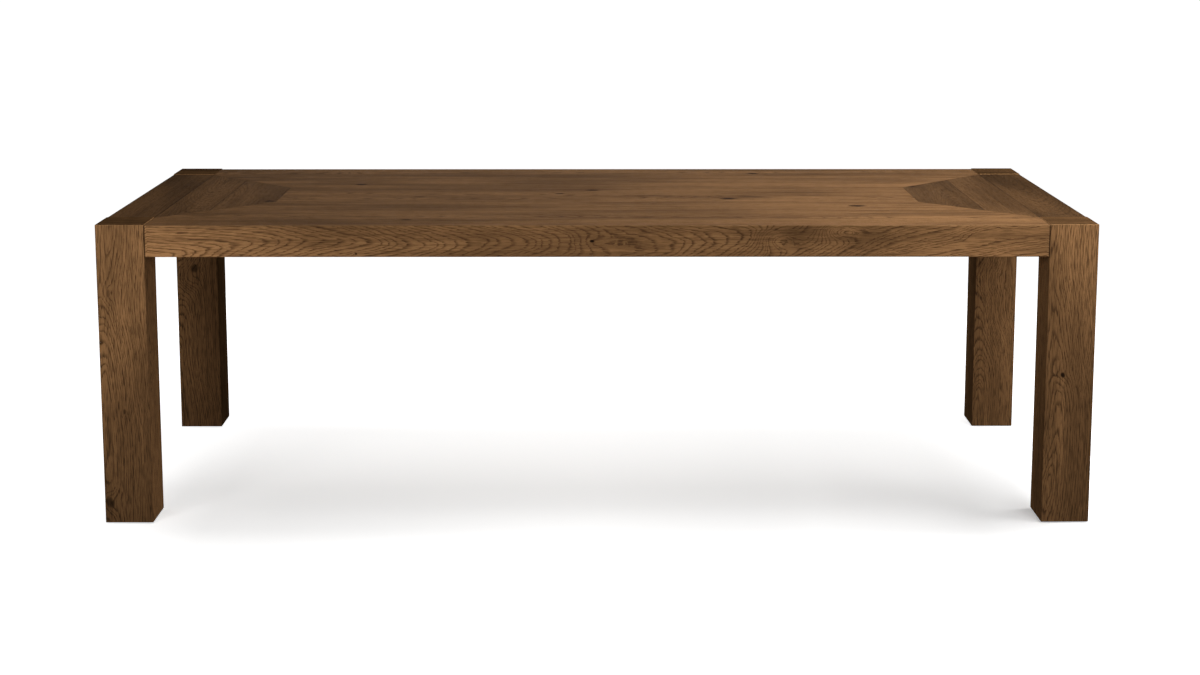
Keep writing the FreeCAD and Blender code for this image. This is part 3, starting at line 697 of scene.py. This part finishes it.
def pick_faces(piece, wanted):
    """Select the faces of a piece that pass a test, ready for edit mode's tools."""
    bpy.ops.object.mode_set(mode="EDIT")
    bpy.ops.mesh.select_mode(type="FACE")
    bpy.ops.mesh.select_all(action="DESELECT")
    bpy.ops.object.mode_set(mode="OBJECT")
    for face in piece.data.polygons:
        face.select = wanted(face)
    bpy.ops.object.mode_set(mode="EDIT")


def faces_up(face):
    """Whether a face looks up."""
    return face.normal.z > 0.9


def faces_down(face):
    """Whether a face looks down."""
    return face.normal.z < -0.9


def faces_sideways(face):
    """Whether a face is upright."""
    return abs(face.normal.z) < 0.1


def step_in(width, rise):
    """Inset the selected face and move the inner one along Z."""
    bpy.ops.mesh.inset(thickness=width)
    bpy.ops.transform.translate(value=(0.0, 0.0, rise))


def draw_out(rise):
    """Extrude the selected face along Z."""
    bpy.ops.mesh.extrude_region_move(TRANSFORM_OT_translate={"value": (0.0, 0.0, rise)})


def soften(piece, width):
    """Round the sharp edges of a piece."""
    bpy.ops.object.mode_set(mode="OBJECT")
    bevel = piece.modifiers.new("soft_edges", "BEVEL")
    bevel.width = width
    bevel.segments = 2
    bevel.limit_method = "ANGLE"
    bpy.ops.object.modifier_apply(modifier=bevel.name)
    bpy.ops.object.shade_smooth_by_angle(angle=SMOOTH_ANGLE)


def rod(sides, radius, low, high, chamfer):
    """A plain rod up the Z axis with its upper end chamfered."""
    piece = start_solid(sides, radius, low, high)
    pick_faces(piece, faces_up)
    bpy.ops.mesh.bevel(offset=chamfer, segments=1)
    bpy.ops.object.mode_set(mode="OBJECT")
    return piece


def on_flute(face):
    """Whether a face of the pad's side lies in one of its flutes."""
    if not faces_sideways(face) or face.center.xy.length < 0.8 * PAD_RADIUS:
        return False
    turned = math.degrees(math.atan2(face.center.y, face.center.x))
    return math.floor(turned / (360 / PAD_SIDES)) % FLUTE_SPACING == 0


def foot_pad():
    """Moulded pad: a foot ring below, a dished top with a bored boss for the stem, and flutes round it."""
    pad = start_solid(PAD_SIDES, PAD_RADIUS, 0.0, PAD_HEIGHT)
    pick_faces(pad, faces_up)
    for width, rise in PAD_TOP_STEPS:
        step_in(width, rise)
    draw_out(-PAD_BORE)
    pick_faces(pad, lambda face: faces_down(face) and face.center.z < PAD_HEIGHT / 8)
    for width, rise in PAD_FOOT_STEPS:
        step_in(width, rise)
    pick_faces(pad, on_flute)
    bpy.ops.mesh.inset(thickness=FLUTE_DEPTH, use_individual=True)
    bpy.ops.transform.shrink_fatten(value=-FLUTE_DEPTH)
    soften(pad, PAD_EDGE)
    return pad


def foot_stem():
    """Threaded stem: a core with a chamfered tip, and a thread wound round it."""
    core = rod(ROD_SIDES, STEM_RADIUS, STEM_FOOT, STEM_TIP, STEM_CHAMFER)
    pick()
    bpy.ops.mesh.primitive_circle_add(vertices=4, radius=THREAD_HEIGHT, rotation=(math.pi / 2, 0.0, 0.0),
                                      location=(STEM_RADIUS, 0.0, THREAD_START))
    thread = bpy.context.object
    bpy.ops.object.transform_apply(location=True, rotation=True)
    winding = thread.modifiers.new("winding", "SCREW")
    winding.screw_offset = THREAD_PITCH
    winding.iterations = THREAD_TURNS
    winding.steps = THREAD_STEPS
    winding.render_steps = THREAD_STEPS
    bpy.ops.object.modifier_apply(modifier=winding.name)
    bpy.ops.object.mode_set(mode="EDIT")
    bpy.ops.mesh.select_all(action="SELECT")
    bpy.ops.mesh.fill_holes(sides=4)
    bpy.ops.mesh.normals_make_consistent(inside=False)
    bpy.ops.object.mode_set(mode="OBJECT")
    return joined(core, thread)


def hex_bolt():
    """Hex bolt, its seat at the origin: a chamfered head, and a shank up the Z axis."""
    head = start_solid(6, BOLT_HEAD_RADIUS, -BOLT_HEAD_HEIGHT, 0.0)
    pick_faces(head, faces_down)
    draw_out(-BOLT_CROWN_HEIGHT)
    bpy.ops.transform.resize(value=(BOLT_CROWN_SHARE, BOLT_CROWN_SHARE, 1.0))
    soften(head, BOLT_HEAD_EDGE)
    return joined(head, rod(ROD_SIDES, BOLT_RADIUS, 0.0, BOLT_LENGTH, BOLT_CHAMFER))


def pan_screw(length):
    """Wood screw, its seat at the origin: a domed head with a cross recess, and a shank up the Z axis."""
    head = start_solid(ROD_SIDES, SCREW_HEAD_RADIUS, -SCREW_HEAD_HEIGHT, 0.0)
    pick_faces(head, faces_down)
    bpy.ops.mesh.bevel(offset=SCREW_DOME, segments=4)
    bpy.ops.object.mode_set(mode="OBJECT")
    pick()
    bpy.ops.mesh.primitive_cube_add(size=RECESS_WIDTH, location=(0.0, 0.0, RECESS_LEVEL))
    cross = bpy.context.object
    bpy.ops.object.transform_apply(location=True)
    pick_faces(cross, faces_sideways)
    bpy.ops.mesh.extrude_faces_move(TRANSFORM_OT_shrink_fatten={"value": RECESS_ARM})
    bpy.ops.object.mode_set(mode="OBJECT")
    pick(head)
    recess = head.modifiers.new("cross_recess", "BOOLEAN")
    recess.object = cross
    bpy.ops.object.modifier_apply(modifier=recess.name)
    bpy.data.objects.remove(cross)
    bpy.ops.object.shade_smooth_by_angle(angle=SMOOTH_ANGLE)
    return joined(head, rod(SCREW_SIDES, SCREW_RADIUS, 0.0, length, SCREW_TIP))


def set_out(model, name, places, material, slot, body, *nodes):
    """Copy a model to each place and direction, join the copies, and let them stand for their CAD nodes."""
    copies = []
    for place, direction in places:
        pick(model)
        bpy.ops.object.duplicate(linked=False)
        copy = bpy.context.object
        copy.location = place
        copy.rotation_euler = UP.rotation_difference(Vector(direction)).to_euler()
        bpy.ops.object.transform_apply(location=True, rotation=True)
        copies.append(copy)
    piece = joined(*copies)
    piece.name = name
    piece.data.name = name
    piece.data.materials.clear()
    piece.data.materials.append(material)
    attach(piece, body)
    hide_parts(*nodes)


# Places of the hardware, mirrored to all four legs
LEGS = {"front_left": (-1, -1), "front_right": (1, -1), "rear_left": (-1, 1), "rear_right": (1, 1)}
FOOT_X = 1.161
FOOT_Y = 0.449
BOLT_LEVEL = 0.703
LENGTHWISE_BOLT = (1.0404, 0.4575)
CROSSWISE_BOLT = (1.1695, 0.3284)
CLEAT_SCREW_LEVEL = 0.6902
CLEAT_SCREWS_FROM_END = (0.133, 0.163)
SIDE_CLEAT_FACE = 0.435
END_CLEAT_FACE = 1.147
BATTEN_SCREW_SHARES = (0.08, 0.36, 0.64, 0.92)


def batten_screw_places():
    """Seats of the screws that go up through the battens."""
    for batten in ("batten_left", "batten_centre", "batten_right"):
        low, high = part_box(batten)
        for share in BATTEN_SCREW_SHARES:
            yield ((low.x + high.x) / 2, low.y + share * (high.y - low.y), low.z), UP


def cleat_screw_places():
    """Seats of the screws that go outwards through the cleats into the rails."""
    for sign_x, sign_y in LEGS.values():
        for inset in CLEAT_SCREWS_FROM_END:
            x = sign_x * (HALF_LENGTH - inset)
            yield (x, sign_y * SIDE_CLEAT_FACE, CLEAT_SCREW_LEVEL), (0, sign_y, 0)
            y = sign_y * (HALF_WIDTH - inset)
            yield (sign_x * END_CLEAT_FACE, y, CLEAT_SCREW_LEVEL), (sign_x, 0, 0)


def bolt_places():
    """Seats of the bolts that draw each leg to its two cleats."""
    for sign_x, sign_y in LEGS.values():
        x, y = LENGTHWISE_BOLT
        yield (sign_x * x, sign_y * y, BOLT_LEVEL), (sign_x, 0, 0)
        x, y = CROSSWISE_BOLT
        yield (sign_x * x, sign_y * y, BOLT_LEVEL), (0, sign_y, 0)


def fit_hardware():
    """Model each kind of hardware and set it out."""
    pad = foot_pad()
    stem = foot_stem()
    bolt = hex_bolt()
    batten_screw = pan_screw(BATTEN_SCREW_LENGTH)
    cleat_screw = pan_screw(CLEAT_SCREW_LENGTH)
    for leg, (sign_x, sign_y) in LEGS.items():
        place = [((sign_x * FOOT_X, sign_y * FOOT_Y, 0.0), UP)]
        set_out(pad, f"foot_pad_{leg}", place, NYLON, "nylon", f"foot_{leg}", f"levelling_pad_{leg}")
        set_out(stem, f"foot_stem_{leg}", place, ZINC, "zinc_steel", f"foot_{leg}", f"levelling_stem_{leg}")
    zinc = (ZINC, "zinc_steel", "table")
    set_out(bolt, "hex_bolts", bolt_places(), *zinc, "leg_bolts")
    set_out(batten_screw, "pan_screws_battens", batten_screw_places(), *zinc, "batten_screws")
    set_out(cleat_screw, "pan_screws_cleats", cleat_screw_places(), *zinc, "cleat_screws")
    for model in (pad, stem, bolt, batten_screw, cleat_screw):
        bpy.data.objects.remove(model)


fit_hardware()


# Studio: a pale floor that turns up far away, soft lamps, and the camera

FLOOR_WIDTH = 90.0
FLOOR_RIM = 5.0
SKY_LIGHT = 0.03

# How far the floor's glow is dimmed under the table, a painted shadow: a place and a share, along the table
# and across it
SHADE_ALONG = (
    (-1.35, 0.0),
    (-1.2, 0.35),
    (-1.07, 0.62),
    (-0.97, 0.76),
    (-0.8, 0.78),
    (0.0, 0.7),
    (0.55, 0.73),
    (0.8, 0.88),
    (0.95, 1.0),
    (1.1, 0.88),
    (1.2, 0.5),
    (1.3, 0.0),
)
SHADE_DEEP = (
    (-0.95, 0.0),
    (-0.8, 0.35),
    (-0.7, 0.65),
    (-0.56, 0.8),
    (-0.4, 0.79),
    (-0.22, 0.73),
    (-0.07, 0.61),
    (0.09, 0.5),
    (0.25, 0.41),
    (0.34, 0.38),
    (0.45, 0.27),
    (0.7, 0.0),
)

# Lamps: name, place, point it aims at, width, height, power
LAMPS = (
    ("front_strip", (0.0, -1.3, 1.0), (0.0, -0.5, 0.72), 2.0, 0.15, 3.25),
    ("left_front", (-1.35, -1.25, 1.0), (-1.16, -0.5, 0.7), 0.4, 0.3, 2.3),
    ("left_near", (-1.28, -1.0, 0.68), (-1.16, -0.5, 0.7), 0.3, 0.1, 0.9),
    ("left_low_fill", (-1.7, -1.4, 0.95), (-1.16, 0.39, 0.5), 0.3, 0.3, 1.4),
    ("right_front", (1.35, -1.25, 1.0), (1.16, -0.5, 0.7), 0.4, 0.3, 3.9),
    ("right_mid", (1.5, -1.6, 0.62), (1.16, -0.5, 0.5), 0.5, 0.2, 1.85),
    ("right_softbox", (1.6, -0.4, 1.7), (0.8, -0.2, 0.75), 1.0, 1.0, 25.0),
    ("top_softbox", (0.0, 0.0, 2.8), (0.0, 0.0, 0.75), 2.0, 2.0, 20.5),
    ("under_fill", (0.0, -0.9, 0.5), (-1.16, 0.39, 0.45), 0.4, 0.2, 0.97),
    ("rear_fill", (0.0, 2.6, 1.3), (0.0, 0.5, 0.5), 3.0, 0.8, 6.0),
    ("rear_low_fill", (0.0, 2.5, 0.55), (0.0, 0.5, 0.45), 3.0, 0.5, 22.0),
    ("left_end_fill", (-2.0, 0.1, 0.55), (-1.2, 0.0, 0.45), 1.0, 0.4, 2.0),
)

CAMERA_PLACE = (-0.0066, -5.1697, 1.5214)
CAMERA_TILT = 0.1476
CAMERA_TURN = -0.0028
CAMERA_LENS = 58.38
CAMERA_SHIFT = -0.12


def floor_finish():
    """White to the eye and in reflections, with the table's cast shadow and a painted shadow under it; dim
    in the light it throws back.
    """
    material, bench, shader, place = new_finish("studio_floor")
    bench.tree.nodes.remove(shader)
    rays = bench.node("ShaderNodeLightPath").outputs
    seen = bench.maths("MAXIMUM", rays["Is Camera Ray"], rays["Is Glossy Ray"])
    seen = bench.maths("MAXIMUM", seen, rays["Is Transmission Ray"])
    sides = bench.axes(place)
    along = bench.stepped(sides["X"], SHADE_ALONG)
    shade = bench.maths("MULTIPLY", along, bench.stepped(sides["Y"], SHADE_DEEP))
    lift = bench.maths("MULTIPLY", seen, bench.maths("SUBTRACT", 1.0, shade))
    paint = bench.node("ShaderNodeBsdfDiffuse", {"Color": bench.mix(seen, FLOOR_DIM, FLOOR_WHITE)})
    glow = bench.node("ShaderNodeEmission", {"Strength": lift})
    both = bench.node("ShaderNodeAddShader", {0: paint.outputs[0], 1: glow.outputs[0]})
    bench.wire(bench.tree.nodes["Material Output"], {"Surface": both.outputs[0]})
    return material


def lay_floor():
    """A wide floor with its rim turned up."""
    pick()
    bpy.ops.mesh.primitive_plane_add(size=FLOOR_WIDTH)
    floor = bpy.context.object
    floor.name = "studio_floor"
    bpy.ops.object.mode_set(mode="EDIT")
    bpy.ops.mesh.select_mode(type="EDGE")
    bpy.ops.mesh.select_all(action="SELECT")
    bpy.ops.mesh.extrude_edges_move(TRANSFORM_OT_translate={"value": (0, 0, FLOOR_RIM)})
    bpy.ops.object.mode_set(mode="OBJECT")
    floor.data.materials.append(floor_finish())


def hang_lamps():
    """The lamps, and a faint even light from all round."""
    for name, place, aim, width, height, power in LAMPS:
        pick()
        bpy.ops.object.light_add(type="AREA", location=place)
        lamp = bpy.context.object
        lamp.name = name
        lamp.rotation_euler = (Vector(aim) - Vector(place)).to_track_quat("-Z", "Y").to_euler()
        lamp.visible_camera = False
        lamp.data.shape = "RECTANGLE"
        lamp.data.size = width
        lamp.data.size_y = height
        lamp.data.energy = power
    world = bpy.data.worlds.new("studio")
    bpy.context.scene.world = world
    world.use_nodes = True
    sky = world.node_tree.nodes["Background"].inputs
    sky["Color"].default_value = (1.0, 1.0, 1.0, 1.0)
    sky["Strength"].default_value = SKY_LIGHT


def set_camera():
    """The photograph's point of view, from in front and a little above the deck."""
    pick()
    bpy.ops.object.camera_add(location=CAMERA_PLACE)
    camera = bpy.context.object
    camera.rotation_euler = (math.pi / 2 - CAMERA_TILT, 0.0, CAMERA_TURN)
    camera.data.lens = CAMERA_LENS
    camera.data.shift_y = CAMERA_SHIFT
    bpy.context.scene.camera = camera


lay_floor()
hang_lamps()
set_camera()
bpy.context.scene.view_settings.view_transform = "Standard"
